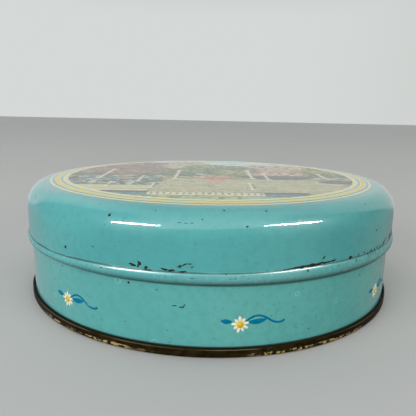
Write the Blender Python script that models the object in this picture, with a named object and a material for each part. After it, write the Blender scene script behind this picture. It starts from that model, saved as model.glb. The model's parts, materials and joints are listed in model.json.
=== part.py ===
"""Round bobbin box: a lift-off tinplate lid over a three-piece tin, with a lift-out bobbin rack inside.

Metres, +Z up. The origin is the centre of the base seam, on the surface that the tin stands on.
The picture on the lid reads the right way up from -Y.
"""

import math

import bmesh
import bpy

# Sheet metal: tinplate thickness, the slip gap inside a folded seam, and the facets round the tin.
SHEET = 0.0003
SEAM_GAP = 0.0003
TIN_FACETS = 48

# Tin body: outer radius of the wall, and the heights of its rim and of the folded base seam.
BODY_RADIUS = 0.0942
RIM_HEIGHT = 0.0480
SEAM_HEIGHT = 0.0039
FLOOR_HEIGHT = 0.0034

# Lid: outer radius of the skirt, overall height, and the two heights of the rolled bead.
LID_RADIUS = 0.0956
TIN_HEIGHT = 0.0560
BEAD_TOP = 0.0333
BEAD_BOTTOM = 0.0289
BEAD_REACH = 0.0009
SHOULDER_WIDTH = 0.0091
SHOULDER_DROP = 0.0106
PANEL_RADIUS = 0.0780
PANEL_STEP = 0.0004

# Lift-out rack: a plywood disc with dowel pegs and a turned knob.
BOARD_RADIUS = 0.0900
BOARD_THICKNESS = 0.0030
BOARD_FACETS = 36
REST_GAP = 0.0003
PEG_COUNT = 12
PEG_CIRCLE = 0.0730
PEG_RADIUS = 0.0025
PEG_HEIGHT = 0.0134
PEG_FACETS = 10
KNOB_TOP = 0.0340
KNOB_FACETS = 16

# Bobbins: the common 20.3 mm by 11.7 mm sewing machine size.
BOBBIN_RADIUS = 0.01015
BOBBIN_HEIGHT = 0.0117
BOBBIN_BORE = 0.0031
BOBBIN_HUB = 0.0042
FLANGE = 0.0008
THREAD_RADIUS = 0.0090
BOBBIN_FACETS = 14

BOARD_BOTTOM = FLOOR_HEIGHT + SHEET / 2 + REST_GAP
BOARD_TOP = BOARD_BOTTOM + BOARD_THICKNESS
BOBBIN_BOTTOM = BOARD_TOP + REST_GAP

THREAD_COLOURS = {
    "red": (0.55, 0.035, 0.030),
    "cream": (0.78, 0.68, 0.48),
    "blue": (0.030, 0.110, 0.330),
    "yellow": (0.75, 0.46, 0.055),
    "green": (0.060, 0.230, 0.110),
    "rose": (0.66, 0.210, 0.240),
}


# ---------------------------------------------------------------- materials

def paint(name, colour, roughness, metallic=0.0):
    """A Principled material of one colour."""
    material = bpy.data.materials.new(name)
    material.use_nodes = True
    shader = material.node_tree.nodes["Principled BSDF"]
    shader.inputs["Base Color"].default_value = (*colour, 1.0)
    shader.inputs["Roughness"].default_value = roughness
    shader.inputs["Metallic"].default_value = metallic
    return material


# ---------------------------------------------------------------- section outlines, as (radius, height)

def arc(centre, width, height, start, end, steps):
    """Points on an elliptical arc from start to end, in degrees anticlockwise from outward."""
    points = []
    for step in range(steps + 1):
        angle = math.radians(start + (end - start) * step / steps)
        points.append((centre[0] + width * math.cos(angle), centre[1] + height * math.sin(angle)))
    return points


def sheet_section(line):
    """The closed outline of a sheet of SHEET thickness whose middle follows line, mitred at its bends."""
    sides = ([], [])
    for index, (radius, height) in enumerate(line):
        before = line[max(index - 1, 0)]
        after = line[min(index + 1, len(line) - 1)]
        one = direction(before, (radius, height)) or direction((radius, height), after)
        two = direction((radius, height), after) or one
        normal = (-(one[1] + two[1]), one[0] + two[0])
        length = math.hypot(*normal)
        normal = (normal[0] / length, normal[1] / length)
        mitre = SHEET / 2 / max(0.5, normal[0] * -one[1] + normal[1] * one[0])
        for side, sign in zip(sides, (1, -1)):
            on_axis = radius == 0.0
            side.append((0.0 if on_axis else radius + sign * mitre * normal[0], height + sign * mitre * normal[1]))
    return sides[0] + sides[1][::-1]


def direction(a, b):
    """The unit vector from a to b, or None where they are one point."""
    length = math.dist(a, b)
    if length == 0.0:
        return None
    return ((b[0] - a[0]) / length, (b[1] - a[1]) / length)


# ---------------------------------------------------------------- solids

def turned(name, section, facets, material):
    """A solid turned about Z from a closed section outline. A point at radius 0 becomes one vertex."""
    mesh = bpy.data.meshes.new(name)
    body = bmesh.new()
    rings = []
    for radius, height in section:
        if radius == 0.0:
            rings.append([body.verts.new((0.0, 0.0, height))] * facets)
            continue
        ring = []
        for step in range(facets):
            angle = 2 * math.pi * step / facets
            ring.append(body.verts.new((radius * math.cos(angle), radius * math.sin(angle), height)))
        rings.append(ring)
    for inner, outer in zip(rings, rings[1:] + rings[:1]):
        for step in range(facets):
            following = (step + 1) % facets
            corners = [inner[step], inner[following], outer[following], outer[step]]
            distinct = list(dict.fromkeys(corners))
            if len(distinct) > 2:
                body.faces.new(distinct)
    bmesh.ops.recalc_face_normals(body, faces=body.faces)
    body.to_mesh(mesh)
    body.free()
    mesh.shade_smooth()
    mesh.set_sharp_from_angle(angle=math.radians(35))
    mesh.materials.append(material)
    return place(bpy.data.objects.new(name, mesh))


def place(obj, parent=None, location=(0.0, 0.0, 0.0)):
    """Link obj into the scene, under parent if there is one."""
    bpy.context.scene.collection.objects.link(obj)
    obj.parent = parent
    obj.location = location
    return obj


def empty(name, parent=None, location=(0.0, 0.0, 0.0)):
    """An empty that stands for a moving body, on its joint's axis."""
    return place(bpy.data.objects.new(name, None), parent, location)


# ---------------------------------------------------------------- tin

def lid_shell(material):
    """Drawn lid: flat picture panel, rounded shoulder, skirt, and an edge rolled out into a bead and hemmed inside."""
    skirt = LID_RADIUS - SHEET / 2
    top = TIN_HEIGHT - SHEET / 2
    shoulder_centre = (skirt - SHOULDER_WIDTH, top - PANEL_STEP - SHOULDER_DROP)
    bead_middle = (BEAD_TOP + BEAD_BOTTOM) / 2
    bead_half = (BEAD_TOP - BEAD_BOTTOM) / 2 - SHEET / 2
    hem = skirt - BEAD_REACH / 2
    line = [(0.0, top), (PANEL_RADIUS, top)]
    line += arc(shoulder_centre, SHOULDER_WIDTH, SHOULDER_DROP, 90, 0, 7)
    line += [(skirt, BEAD_TOP + SHEET)]
    line += arc((skirt, bead_middle), BEAD_REACH, bead_half, 70, -90, 6)
    line += [(hem, BEAD_BOTTOM + 3 * SHEET), (hem, BEAD_TOP - 3 * SHEET)]
    return turned("lid_shell", sheet_section(line), TIN_FACETS, material)


def body_wall(material):
    """Rolled body: necked rim with an outward curl at the top, and a flange hooked upwards in the base seam."""
    wall = BODY_RADIUS - SHEET / 2
    neck = wall - 0.0006
    curl = 0.0005
    hook = wall + 2 * (SHEET + SEAM_GAP)
    hook_bottom = SHEET + SEAM_GAP + SHEET / 2
    rim_centre = (neck + curl, RIM_HEIGHT - curl - SHEET / 2)
    line = [(neck + 2 * curl, rim_centre[1] - 2 * curl)]
    line += arc(rim_centre, curl, curl, 0, 180, 4)
    line += [(neck, RIM_HEIGHT - 0.0030), (wall, RIM_HEIGHT - 0.0045)]
    line += [(wall, hook_bottom + SHEET), (wall + SHEET, hook_bottom), (hook - SHEET, hook_bottom)]
    line += [(hook, hook_bottom + SHEET), (hook, SEAM_HEIGHT - 2 * (SHEET + SEAM_GAP))]
    return turned("body_wall", sheet_section(line), TIN_FACETS, material)


def base_plate(material):
    """Stamped base: a recessed floor with a ring groove, and an edge folded round the body's hook."""
    step = SHEET + SEAM_GAP
    chuck = BODY_RADIUS - SHEET / 2 - step
    outer = BODY_RADIUS - SHEET / 2 + 3 * step
    tuck = BODY_RADIUS - SHEET / 2 + step
    foot = SHEET / 2
    top = SEAM_HEIGHT - SHEET / 2
    groove = 0.0800
    groove_depth = 0.0010
    line = [(0.0, FLOOR_HEIGHT), (groove - 0.0025, FLOOR_HEIGHT), (groove, FLOOR_HEIGHT - groove_depth)]
    line += [(groove + 0.0025, FLOOR_HEIGHT), (chuck - 0.0006, FLOOR_HEIGHT), (chuck, FLOOR_HEIGHT - 0.0008)]
    line += [(chuck, foot + SHEET), (chuck + SHEET, foot), (outer - SHEET, foot), (outer, foot + SHEET)]
    line += [(outer, top - SHEET), (outer - SHEET, top), (tuck + SHEET, top), (tuck, top - SHEET)]
    line += [(tuck, foot + 2 * step + SHEET)]
    return turned("base_plate", sheet_section(line), TIN_FACETS, material)


# ---------------------------------------------------------------- rack and bobbins

def rack_board(material):
    """Plywood disc with a through hole for each peg and for the knob's tenon."""
    section = [(0.0, BOARD_TOP), (BOARD_RADIUS - 0.0006, BOARD_TOP), (BOARD_RADIUS, BOARD_TOP - 0.0006)]
    section += [(BOARD_RADIUS, BOARD_BOTTOM + 0.0006), (BOARD_RADIUS - 0.0006, BOARD_BOTTOM), (0.0, BOARD_BOTTOM)]
    board = turned("rack_board", section, BOARD_FACETS, material)
    holes = [(*peg_place(index), PEG_RADIUS + REST_GAP) for index in range(PEG_COUNT)]
    holes.append((0.0, 0.0, PEG_RADIUS + REST_GAP))
    for number, (x, y, radius) in enumerate(holes):
        bpy.ops.mesh.primitive_cylinder_add(
            vertices=PEG_FACETS, radius=radius, depth=4 * BOARD_THICKNESS, location=(x, y, BOARD_TOP)
        )
        cutter = bpy.context.object
        cutter.name = f"cutter_{number:02d}"
        cutter.hide_render = True
        cutter.display_type = "WIRE"
        cut = board.modifiers.new(cutter.name, "BOOLEAN")
        cut.operation = "DIFFERENCE"
        cut.object = cutter
    return board


def peg_place(index):
    """The x and y of one peg on the peg circle."""
    angle = 2 * math.pi * (index + 0.5) / PEG_COUNT
    return (PEG_CIRCLE * math.cos(angle), PEG_CIRCLE * math.sin(angle))


def peg(name, material):
    """Dowel glued through the board, with a rounded top that a bobbin slips over."""
    top = BOARD_TOP + PEG_HEIGHT
    dome = 0.0012
    section = [(0.0, BOARD_BOTTOM + REST_GAP), (PEG_RADIUS, BOARD_BOTTOM + REST_GAP), (PEG_RADIUS, top - dome)]
    section += [(0.7 * PEG_RADIUS, top - dome / 4), (0.0, top)]
    return turned(name, section, PEG_FACETS, material)


def lift_knob(material):
    """Turned knob with a tenon in the board, a foot collar, a slim neck and a ball to lift the rack by."""
    ball = 0.0080
    neck = 0.0036
    collar = 0.0075
    section = [(0.0, BOARD_BOTTOM + REST_GAP), (PEG_RADIUS, BOARD_BOTTOM + REST_GAP)]
    section += [(PEG_RADIUS, BOARD_TOP + REST_GAP), (collar, BOARD_TOP + REST_GAP)]
    section += [(collar, BOARD_TOP + 0.0020), (collar - 0.0012, BOARD_TOP + 0.0030), (neck, BOARD_TOP + 0.0045)]
    section += arc((0.0, KNOB_TOP - ball), ball, ball, -62, 90, 9)[:-1] + [(0.0, KNOB_TOP)]
    return turned("lift_knob", section, KNOB_FACETS, material)


def bobbin_spool(name, material):
    """Pressed steel bobbin: two flanges on a hub with a through bore."""
    low, high = BOBBIN_BOTTOM, BOBBIN_BOTTOM + BOBBIN_HEIGHT
    section = [(BOBBIN_BORE, low), (BOBBIN_RADIUS, low), (BOBBIN_RADIUS, low + FLANGE), (BOBBIN_HUB, low + FLANGE)]
    section += [(BOBBIN_HUB, high - FLANGE), (BOBBIN_RADIUS, high - FLANGE), (BOBBIN_RADIUS, high), (BOBBIN_BORE, high)]
    return turned(name, section, BOBBIN_FACETS, material)


def thread_winding(name, material):
    """Thread wound on the hub between the flanges, a little fuller in the middle."""
    low = BOBBIN_BOTTOM + FLANGE + REST_GAP
    high = BOBBIN_BOTTOM + BOBBIN_HEIGHT - FLANGE - REST_GAP
    inner = BOBBIN_HUB + REST_GAP
    edge = THREAD_RADIUS - 0.0004
    section = [(inner, low), (edge, low), (THREAD_RADIUS, (low + high) / 2), (edge, high), (inner, high)]
    return turned(name, section, BOBBIN_FACETS, material)


def main():
    for obj in list(bpy.data.objects):
        bpy.data.objects.remove(obj)

    body_paint = paint("body_paint", (0.150, 0.450, 0.440), 0.32)
    lid_paint = paint("lid_paint", (0.130, 0.430, 0.430), 0.28)
    lacquer = paint("base_lacquer", (0.090, 0.070, 0.030), 0.45, 0.6)
    plywood = paint("plywood", (0.560, 0.390, 0.220), 0.60)
    dowel = paint("dowel", (0.620, 0.450, 0.270), 0.55)
    steel = paint("bobbin_steel", (0.560, 0.560, 0.550), 0.28, 1.0)
    threads = [paint(f"thread_{name}", colour, 0.85) for name, colour in THREAD_COLOURS.items()]

    body_wall(body_paint)
    base_plate(lacquer)
    lid_shell(lid_paint).parent = empty("lid")

    rack = empty("rack")
    for piece in (rack_board(plywood), lift_knob(dowel)):
        piece.parent = rack
    for index in range(PEG_COUNT):
        number = f"{index + 1:02d}"
        station = empty(f"station_{number}", rack, (*peg_place(index), 0.0))
        peg(f"peg_{number}", dowel).parent = station
        bobbin_spool(f"bobbin_{number}", steel).parent = station
        thread_winding(f"thread_{number}", threads[index % len(threads)]).parent = station


main()
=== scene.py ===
"""Looks for the round bobbin box: an enamelled tin with a printed lid, and its lift-out rack of bobbins."""

import json
from math import acos, atan2, cos, degrees, dist, hypot, pi, radians, sin, tan

import bmesh
import bpy
import numpy as np
from mathutils import Matrix, Vector, noise


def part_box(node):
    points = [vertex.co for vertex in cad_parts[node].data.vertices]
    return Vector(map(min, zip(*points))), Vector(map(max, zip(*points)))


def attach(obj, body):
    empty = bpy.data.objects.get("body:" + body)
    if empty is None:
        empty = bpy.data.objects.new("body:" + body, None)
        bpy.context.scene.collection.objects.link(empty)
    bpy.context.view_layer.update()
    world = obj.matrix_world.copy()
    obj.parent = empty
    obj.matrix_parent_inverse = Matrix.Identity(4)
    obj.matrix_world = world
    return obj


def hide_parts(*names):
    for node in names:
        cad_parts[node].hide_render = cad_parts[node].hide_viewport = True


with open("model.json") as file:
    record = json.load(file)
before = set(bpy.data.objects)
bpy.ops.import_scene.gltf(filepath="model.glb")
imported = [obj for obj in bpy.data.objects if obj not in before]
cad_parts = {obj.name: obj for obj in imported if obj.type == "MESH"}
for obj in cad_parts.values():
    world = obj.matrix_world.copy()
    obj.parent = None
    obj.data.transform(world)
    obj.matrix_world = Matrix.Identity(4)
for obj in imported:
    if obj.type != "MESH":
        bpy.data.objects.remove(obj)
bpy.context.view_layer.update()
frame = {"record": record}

MM = 0.001
TAU = 2 * pi


# ---- sizes, read from the frame

def outer_radius(node):
    """The largest radius of a turned CAD node about Z."""
    low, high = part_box(node)
    return (high[0] - low[0]) / 2


LID_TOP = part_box("lid_shell")[1][2]
LID_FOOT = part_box("lid_shell")[0][2]
BEAD_RADIUS = outer_radius("lid_shell")
RIM_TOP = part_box("body_wall")[1][2]
SEAM_RADIUS = outer_radius("base_plate")
SEAM_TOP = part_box("base_plate")[1][2]
BOARD_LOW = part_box("rack_board")[0][2]
BOARD_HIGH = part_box("rack_board")[1][2]
BOARD_RADIUS = outer_radius("rack_board")

# Tinplate, and the slip gap between the folded layers of the base seam.
SHEET = 0.3 * MM
LAYER = 0.42 * MM
SKIRT_RADIUS = BEAD_RADIUS - 0.9 * MM
WALL_RADIUS = SEAM_RADIUS - 1.8 * MM
CREASE = LID_FOOT + 4.4 * MM
BEAD_HALF = 2.2 * MM
FACETS = 256

# The printing on the lid, from the picture outwards. The print sits a little off the lid's centre.
PRINT_CENTRE = (-0.4 * MM, 0)
PICTURE_RADIUS = 75.8 * MM
RINGS = (
    ("cream", 75.8 * MM, 78.3 * MM),
    ("cream", 79.4 * MM, 80.4 * MM),
    ("gold", 80.4 * MM, 81.3 * MM),
    ("cream", 81.3 * MM, 82.1 * MM),
    ("cream", 83.4 * MM, 84.5 * MM),
)
PRINT_LIFT = 0.03 * MM
# The picture's colours are named as seen through the varnish's sheen, which lightens them all by this much.
SHEEN = 0.145

# Daisies round the wall: how many, the angle of the first from the front, and their height.
DAISIES = 8
FIRST_DAISY = 7.3
DAISY_HEIGHT = 12.8 * MM
PETALS = 9


# ---- materials

class Graph:
    """A tree of shader nodes. Its methods add nodes, take sockets or plain values, and return sockets."""

    def __init__(self, tree):
        self.tree = tree

    def fill(self, entry, value):
        """Links a socket to an input, or sets a plain value on it."""
        if isinstance(value, bpy.types.NodeSocket):
            self.tree.links.new(value, entry)
        else:
            entry.default_value = value

    def node(self, kind, values=(), **settings):
        """A new node, with its inputs filled from values: {input: number, colour or socket}."""
        made = self.tree.nodes.new("ShaderNode" + kind)
        for key, value in settings.items():
            setattr(made, key, value)
        for key, value in dict(values).items():
            self.fill(made.inputs[key], value)
        return made

    def calc(self, operation, a, b=0):
        return self.node("Math", {0: a, 1: b}, operation=operation).outputs["Value"]

    def plus(self, a, b):
        return self.calc("ADD", a, b)

    def minus(self, a, b):
        return self.calc("SUBTRACT", a, b)

    def times(self, a, b):
        return self.calc("MULTIPLY", a, b)

    def most(self, a, b):
        return self.calc("MAXIMUM", a, b)

    def size(self, a):
        return self.calc("ABSOLUTE", a)

    def axes(self, vector):
        """The X, Y and Z parts of a vector."""
        return self.node("SeparateXYZ", {"Vector": vector}).outputs

    def place(self, scale=(1, 1, 1)):
        """The piece's own coordinates, stretched."""
        own = self.node("TexCoord").outputs["Object"]
        return self.node("Mapping", {"Vector": own, "Scale": scale}).outputs["Vector"]

    def cloud(self, scale, detail=3, where=None, distortion=0):
        """Noise from 0 to 1 over the piece."""
        values = {"Scale": scale, "Detail": detail, "Distortion": distortion, "Vector": where or self.place()}
        return self.node("TexNoise", values).outputs["Fac"]

    def step(self, value, low, high):
        """0 below low and 1 above high, smoothly between; the other way round if low is above high."""
        ends = (low, high, 0, 1) if low <= high else (high, low, 1, 0)
        values = dict(zip(("From Min", "From Max", "To Min", "To Max"), ends), Value=value)
        return self.node("MapRange", values, interpolation_type="SMOOTHSTEP").outputs["Result"]

    def patches(self, scale, detail, low, high, where=None, distortion=0):
        """Soft-edged patches of noise: 0 where it is below low, and 1 where it is above high."""
        return self.step(self.cloud(scale, detail, where, distortion), low, high)

    def blend(self, share, a, b):
        """Colour a where share is 0, and b where it is 1."""
        made = self.node("Mix", {0: share}, data_type="RGBA")
        for index, colour in ((6, a), (7, b)):
            linked = isinstance(colour, bpy.types.NodeSocket)
            self.fill(made.inputs[index], colour if linked else (*colour, 1))
        return made.outputs[2]

    def cover(self, colour, share, other, strength):
        """A colour, covered by another one to a strength where share is 1."""
        return self.blend(self.times(share, strength), colour, other)

    def lerp(self, share, a, b):
        """Number a where share is 0, and b where it is 1."""
        return self.node("Mix", {0: share, 2: a, 3: b}).outputs[0]


class Material(Graph):
    """A new Principled material, with uniform values set on the shader's own sockets."""

    def __init__(self, name, **uniform):
        self.made = bpy.data.materials.new(name)
        self.made.use_nodes = True
        super().__init__(self.made.node_tree)
        self.shader = self.tree.nodes["Principled BSDF"]
        for key, value in uniform.items():
            label = key.replace("_", " ").title().replace("Ior", "IOR")
            self.shader.inputs[label].default_value = value

    def put(self, label, socket):
        self.tree.links.new(socket, self.shader.inputs[label])

    def finish(self, colour, roughness, height, depth, strength):
        """The material, given its colour, its roughness and the relief of its surface."""
        relief = self.node("Bump", {"Height": height, "Distance": depth * MM, "Strength": strength})
        self.put("Base Color", colour)
        self.put("Roughness", roughness)
        self.put("Normal", relief.outputs["Normal"])
        return self.made

    def rise(self):
        """The height of a turned piece's point before the piece was knocked out of shape."""
        return self.node("Attribute", attribute_name="rise").outputs["Fac"]

    def line(self, height, half, value):
        """A soft-edged line round the box at a height, of a half-thickness, where value is above 0."""
        offset = self.size(self.minus(self.rise(), height))
        return self.times(self.step(self.calc("DIVIDE", offset, half), 1, 0.4), value)


RUST = (0.007, 0.006, 0.003)
OLD_RUST = (0.024, 0.018, 0.009)


def enamel(name, deep, pale, grime, rubbed=False):
    """Old stove enamel: mottled, specked and pinholed, with its dirt and painted shade given by grime, and
    its bead rubbed, with a paler tone that is partly painted sheen.
    """
    m = Material(name, specular_ior_level=0.2)
    colour = m.blend(m.patches(24, 4, 0.32, 0.7), deep, pale)
    faded = m.patches(11, 5, 0.5, 0.75, m.place((1, 1, 0.5)))
    colour = m.cover(colour, faded, (0.22, 0.36, 0.31), 0.16)
    pale_specks = m.patches(1300, 1, 0.66, 0.74)
    colour = m.cover(colour, pale_specks, (0.42, 0.66, 0.62), 0.05)
    mottle = m.patches(330, 3, 0.42, 0.66)
    colour = m.cover(colour, mottle, (0.05, 0.22, 0.21), 0.16)
    stipple = m.patches(800, 2, 0.6, 0.72)
    stained = m.lerp(m.patches(30, 3, 0.45, 0.66), 0.25, 1)
    colour = m.cover(colour, m.times(stipple, stained), (0.06, 0.15, 0.14), 0.34)
    colour = m.cover(colour, water_rings(m), (0.4, 0.62, 0.58), 0.3)
    smudges = m.patches(45, 6, 0.45, 0.8, distortion=1)
    gloss = m.lerp(smudges, 0.035, 0.075)
    if rubbed:
        bead = m.step(m.rise(), CREASE + 0.4 * MM, CREASE - 0.6 * MM)
        # On the bead, a paler, greyer tone: rubbed paint, and partly a painted sheen.
        dull = m.lerp(m.patches(60, 5, 0.35, 0.65), 0.03, 0.2)
        colour = m.blend(m.times(bead, dull), colour, (0.28, 0.46, 0.43))
        scuffs = m.lerp(m.patches(900, 3, 0.3, 0.7), 0.1, 0.26)
        gloss = m.plus(gloss, m.times(bead, scuffs))
    pinholes = m.patches(560, 2, 0.75, 0.77)
    # worn: pinholes, with the dirt and painted shade that grime gives, all painted in dark rust colours.
    worn = m.most(m.times(pinholes, 0.9), grime(m))
    steel = m.blend(m.cloud(900, 3), RUST, OLD_RUST)
    colour = m.cover(colour, worn, steel, 0.92)
    m.put("Coat Roughness", gloss)
    m.put("Coat Weight", m.lerp(worn, 1, 0.1))
    relief = m.minus(m.times(m.cloud(420, 2), 0.25), m.times(worn, 0.8))
    return m.finish(colour, m.lerp(worn, 0.4, 0.8), relief, 0.04, 0.35)


def water_rings(m):
    """The thin rings that dried drops of water leave, a few here and there."""
    drop = m.node("TexVoronoi", {"Vector": m.place(), "Scale": 75}).outputs["Distance"]
    return m.step(m.size(m.minus(drop, 0.09)), 0.018, 0.006)


def lid_grime_and_shade(m):
    """Dirt and cracked paint in the crease above the bead, and a painted shade along the bottom of the bead.
    """
    ragged = m.cloud(70, 6)
    height = m.lerp(ragged, CREASE - 0.5 * MM, CREASE + 0.2 * MM)
    half = m.lerp(m.step(ragged, 0.35, 0.62), 0.2 * MM, 0.42 * MM)
    crack = m.line(height, half, m.lerp(m.cloud(40, 4), 0.5, 1))
    flakes = m.patches(400, 4, 0.67, 0.69)
    near = m.line(CREASE - 0.6 * MM, 1.6 * MM, m.patches(28, 3, 0.48, 0.56))
    # A painted shade, darkest at the bottom of the bead and fading upwards.
    painted_bead_shade = m.times(m.step(m.rise(), LID_FOOT + 2.4 * MM, LID_FOOT), 0.62)
    return m.most(m.most(crack, painted_bead_shade), m.times(flakes, near))


def wall_shadow_and_seam_line(m):
    """A painted shadow under the lid's edge, and a dark band just above the base seam."""
    uneven = m.lerp(m.cloud(50, 4), 0.45, 1)
    # A painted shadow on the wall, just under the lid's edge.
    lid_edge_shadow = m.line(LID_FOOT - 0.2 * MM, 1.5 * MM, m.times(m.lerp(uneven, 0.75, 1), 0.85))
    low = m.step(m.rise(), SEAM_TOP + 0.3 * MM, SEAM_TOP + 0.05 * MM)
    return m.most(lid_edge_shadow, m.times(low, 0.85))


def ink(name, colour, worn_to, varnish):
    """Printing ink on the enamel: a flat colour, thin in places, under some of the same varnish."""
    m = Material(name, coat_weight=varnish, coat_roughness=0.05, specular_ior_level=0.2 * varnish)
    shade = m.cover(colour, m.patches(700, 4, 0.56, 0.72), worn_to, 0.45)
    shade = m.cover(shade, m.patches(520, 2, 0.7, 0.74), RUST, 0.8)
    return m.finish(shade, m.lerp(m.cloud(90, 4), 0.3, 0.5), m.cloud(900, 2), 0.02, 0.4)


def picture_ink():
    """The garden picture: its painted colours, broken up by the printing screen, with specks of wear."""
    m = Material("picture_ink", coat_weight=0.6, coat_roughness=0.05, specular_ior_level=0.1)
    painted = m.node("Attribute", attribute_name="paint").outputs["Color"]
    screen = m.node("TexVoronoi", {"Vector": m.place(), "Scale": 1700}).outputs["Distance"]
    colour = m.cover(painted, m.step(screen, 0.3, 0.6), (0.72, 0.66, 0.5), 0.16)
    colour = m.cover(colour, m.patches(1900, 1, 0.6, 0.7), (0.1, 0.1, 0.09), 0.22)
    colour = m.cover(colour, m.patches(480, 2, 0.7, 0.74), RUST, 0.7)
    return m.finish(colour, m.lerp(m.cloud(60, 5), 0.3, 0.5), m.cloud(800, 3), 0.02, 0.35)


def tinplate(name, colour, stain):
    """Bare tinplate inside the box: crystalline sheen, dull stains and fine scratches."""
    m = Material(name, metallic=0.9)
    stains = m.patches(35, 6, 0.48, 0.72, distortion=2)
    crystals = m.node("TexVoronoi", {"Vector": m.place(), "Scale": 160}).outputs["Color"]
    shine = m.node("SeparateColor", {"Color": crystals}).outputs[0]
    shade = m.cover(colour, shine, (0.85, 0.82, 0.74), 0.18)
    shade = m.cover(shade, stains, stain, 0.55)
    scratches = m.cloud(900, 2, m.place((1, 0.06, 1)))
    relief = m.plus(scratches, m.times(stains, 0.3))
    return m.finish(shade, m.lerp(stains, 0.27, 0.55), relief, 0.02, 0.4)


def seam_metal():
    """Folded base: lacquer gone nearly black, worn back to brassy metal near the edge that it stands on."""
    m = Material("seam_metal", specular_ior_level=0.14, specular_tint=(0.75, 0.55, 0.2, 1))
    height = m.rise()
    grime = m.cloud(240, 6, distortion=1)
    colour = m.blend(m.step(grime, 0.35, 0.7), (0.005, 0.0035, 0.0006), (0.018, 0.013, 0.003))
    edge = m.lerp(m.cloud(120, 5), 0.7 * MM, 2.6 * MM)
    low_edge = m.step(m.minus(edge, height), 0, 0.12 * MM)
    low_edge = m.times(low_edge, m.step(height, 0.35 * MM, 0.55 * MM))
    x = m.axes(m.node("TexCoord").outputs["Object"])["X"]
    left = m.step(m.size(m.plus(x, 46 * MM)), 30 * MM, 14 * MM)
    right = m.step(m.size(m.minus(x, 41 * MM)), 28 * MM, 18 * MM)
    runs = m.times(m.most(left, right), m.patches(30, 3, 0.36, 0.46))
    flecks = m.patches(560, 5, 0.48, 0.53, m.place((1, 1, 1.5)))
    gold = m.times(m.times(low_edge, runs), flecks)
    # A paler line along the top of the seam: rubbed lacquer, and partly a painted highlight.
    rim_wear_and_highlight = m.line(SEAM_TOP - 0.6 * MM, 0.25 * MM, m.patches(40, 4, 0.4, 0.6))
    colour = m.cover(colour, rim_wear_and_highlight, (0.24, 0.21, 0.16), 0.4)
    colour = m.blend(gold, colour, (0.46, 0.33, 0.13))
    joint = m.step(height, SEAM_TOP - 0.42 * MM, SEAM_TOP - 0.22 * MM)
    colour = m.blend(joint, colour, (0.002, 0.002, 0.001))
    m.put("Metallic", m.times(gold, 0.3))
    rough = m.lerp(gold, m.lerp(grime, 0.45, 0.75), 0.45)
    return m.finish(colour, rough, m.plus(grime, m.times(flecks, 0.3)), 0.06, 0.5)


def wood(name, pale, dark, stretch, plies=False):
    """Fine-grained wood: streaks along one axis, pores, and dark plies at the edge of plywood."""
    m = Material(name, coat_weight=0.12, coat_roughness=0.3)
    along = m.place(stretch)
    grain = m.cloud(160, 5, along, 0.6)
    colour = m.blend(m.step(grain, 0.3, 0.72), pale, dark)
    colour = m.cover(colour, m.patches(22, 3, 0.45, 0.75, along, 1.2), dark, 0.5)
    pores = m.patches(1400, 2, 0.62, 0.7, along)
    colour = m.cover(colour, pores, (0.1, 0.055, 0.025), 0.35)
    if plies:
        values = {"Vector": m.place(), "Scale": 330, "Distortion": 1.5, "Detail Scale": 8}
        bands = m.node("TexWave", values, bands_direction="Z").outputs["Fac"]
        up = m.axes(m.node("NewGeometry").outputs["Normal"])["Z"]
        edge = m.step(m.size(up), 0.9, 0.5)
        colour = m.cover(colour, m.times(bands, edge), (0.2, 0.1, 0.045), 0.6)
    return m.finish(colour, m.lerp(grain, 0.42, 0.62), m.minus(grain, m.times(pores, 0.6)), 0.08, 0.4)


def bobbin_steel():
    """Nickelled steel with turning marks and a few dull spots."""
    m = Material("bobbin_steel", metallic=1)
    spots = m.patches(420, 4, 0.56, 0.72)
    colour = m.blend(spots, (0.66, 0.65, 0.62), (0.36, 0.32, 0.26))
    return m.finish(colour, m.lerp(spots, 0.18, 0.45), m.cloud(1600, 2), 0.01, 0.4)


def thread_cotton(name, colour):
    """Mercerised cotton: twisted strands that run round the bobbin, soft sheen and stray fibres."""
    m = Material(name, sheen_weight=0.4, sheen_roughness=0.4)
    values = {"Vector": m.place(), "Scale": 900, "Distortion": 3, "Detail": 2}
    twist = m.node("TexWave", values, bands_direction="DIAGONAL").outputs["Fac"]
    uneven = m.cloud(500, 4)
    deep = tuple(0.55 * c for c in colour)
    pale = tuple(min(1, 1.25 * c + 0.03) for c in colour)
    shade = m.cover(colour, twist, deep, 0.5)
    shade = m.cover(shade, m.step(uneven, 0.5, 0.75), pale, 0.6)
    return m.finish(shade, m.lerp(uneven, 0.55, 0.85), twist, 0.06, 0.6)


def rust():
    """Bare steel gone dark brown and black."""
    m = Material("rust", specular_ior_level=0.2)
    colour = m.blend(m.patches(1100, 4, 0.35, 0.65), RUST, OLD_RUST)
    return m.finish(colour, m.lerp(m.cloud(700, 3), 0.6, 0.95), m.cloud(1500, 3), 0.03, 0.6)


# ---- shapes

def direction(a, b):
    """The unit vector from a to b, or None where they are one point."""
    length = dist(a, b)
    if length < 1e-12:
        return None
    return ((b[0] - a[0]) / length, (b[1] - a[1]) / length)


def arc(centre, width, height, start, end, steps):
    """Points on an elliptical arc from start to end, in degrees anticlockwise from outward."""
    points = []
    for index in range(steps + 1):
        angle = radians(start + (end - start) * index / steps)
        points.append((centre[0] + width * cos(angle), centre[1] + height * sin(angle)))
    return points


def between(pairs, value):
    """The second number of a list of pairs, at a value of the first."""
    for (a, b), (c, d) in zip(pairs, pairs[1:]):
        if a <= value <= c:
            return b + (d - b) * (value - a) / max(c - a, 1e-9)
    return pairs[0][1] if value < pairs[0][0] else pairs[-1][1]


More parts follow.
